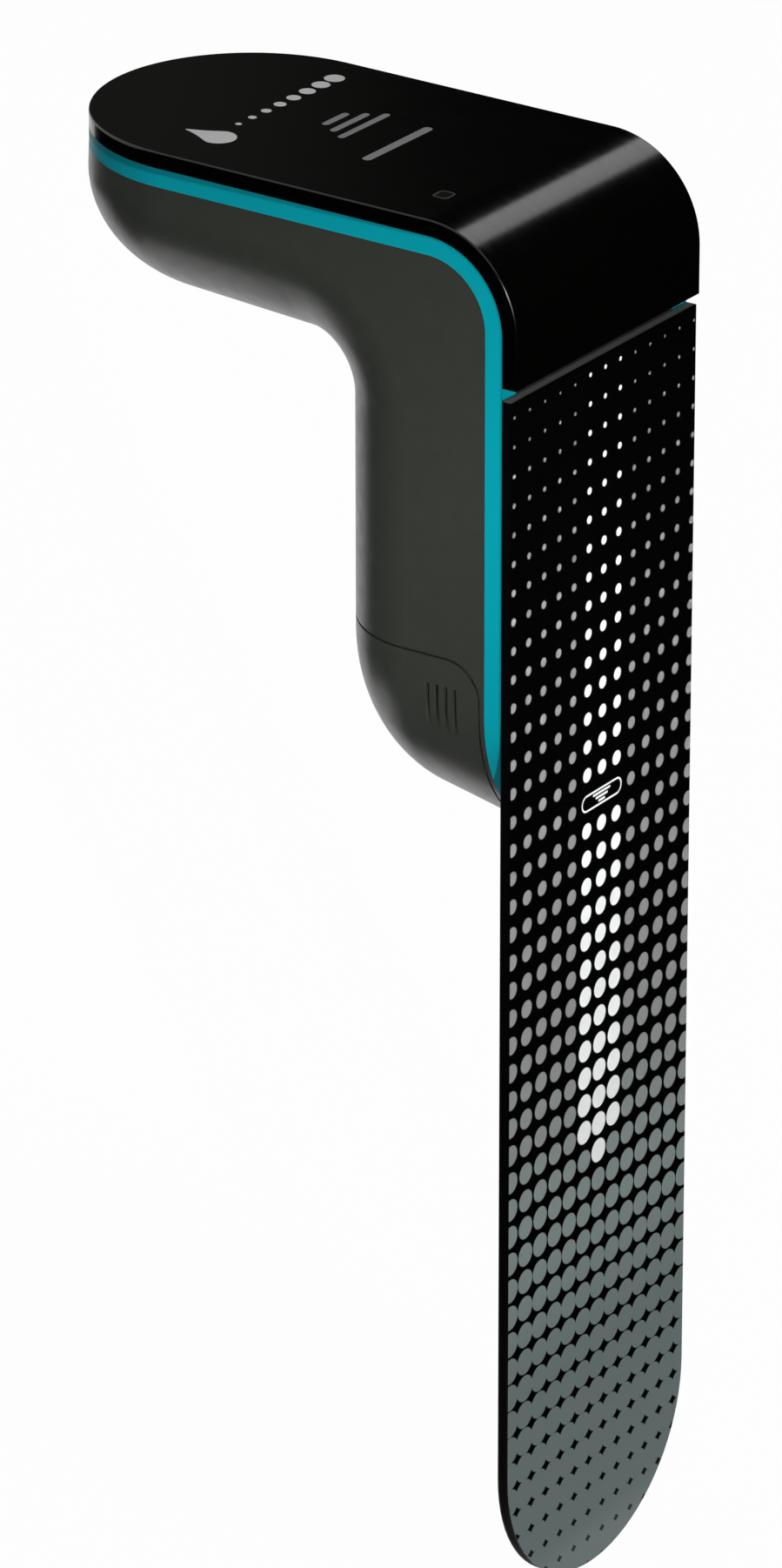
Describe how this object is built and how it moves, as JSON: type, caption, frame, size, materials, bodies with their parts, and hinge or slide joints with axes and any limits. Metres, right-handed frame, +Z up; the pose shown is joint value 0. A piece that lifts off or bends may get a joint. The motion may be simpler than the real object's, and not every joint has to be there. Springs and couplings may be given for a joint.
{
  "type": "soil moisture sensor",
  "caption": "Wireless soil moisture sensor: flat probe blade, folded housing with a hand-like arm, battery bay in the grip with a slide-off cover.",
  "frame": {"origin": "on the blade's outer face, at its centre line, at the level to which the blade is pushed into the soil", "axes": "+Z up along the blade, +X the outward normal of the blade's outer face, +Y across the blade; the arm points to -X"},
  "size_m": [0.0967, 0.054, 0.2486],
  "materials": {
    "gloss_black": "high-gloss moulded plastic",
    "clear_grey": "smoked clear plastic",
    "teal_plastic": "satin moulded plastic",
    "black_rubber": "matt silicone",
    "dark_grey_plastic": "fine-textured moulded plastic",
    "black_plastic": "moulded plastic",
    "board_core": "black laminate",
    "printed_film": "printed film, satin",
    "plain_film": "plain film, satin",
    "adhesive": "double-sided foam tape",
    "brass": "turned",
    "screw_steel": "zinc-plated",
    "cell_jacket": "printed metal jacket, plain",
    "spring_steel": "nickel-plated strip",
    "lead_insulation": "silicone insulation",
    "green_board": "solder mask over laminate",
    "tinned_steel": "tinned sheet",
    "led_body": "moulded diode",
    "flex_amber": "polyimide film"
  },
  "bodies": {
    "root": {"top_cover": "gloss_black", "light_pipe": "clear_grey", "trim_frame": "teal_plastic", "shell_gasket": "black_rubber", "lower_shell": "dark_grey_plastic", "chassis_plate": "black_plastic", "probe_core": "board_core", "front_film": "printed_film", "back_film": "plain_film", "blade_tape": "adhesive", "blade_standoffs": "brass", "blade_screws": "screw_steel", "battery_tray": "black_plastic", "battery_left": "cell_jacket", "battery_right": "cell_jacket", "contact_negative": "spring_steel", "contact_positive": "spring_steel", "battery_leads": "lead_insulation", "main_board": "green_board", "radio_shield": "tinned_steel", "antenna": "tinned_steel", "status_led": "led_body", "flex_connector": "black_plastic", "probe_flex": "flex_amber", "board_screws": "screw_steel", "switch_board": "green_board", "switch_body": "black_plastic", "switch_screws": "screw_steel", "switch_leads": "lead_insulation", "cover_gasket": "black_rubber"},
    "battery_cover": {"battery_cover": "dark_grey_plastic", "bridge_contact": "spring_steel"},
    "pairing_button": {"pairing_button": "teal_plastic", "switch_plunger": "black_plastic"}
  },
  "joints": [
    {"name": "battery_cover_slide", "type": "slide", "parent": "root", "child": "battery_cover", "axis": [0, 0, -1], "range_m": [0, 0.045]},
    {"name": "pairing_button_press", "type": "slide", "parent": "root", "child": "pairing_button", "axis": [0, 0, 1], "range_m": [0, 0.0008], "stiffness_N_per_m": 1200, "springref_m": -0.0003}
  ]
}
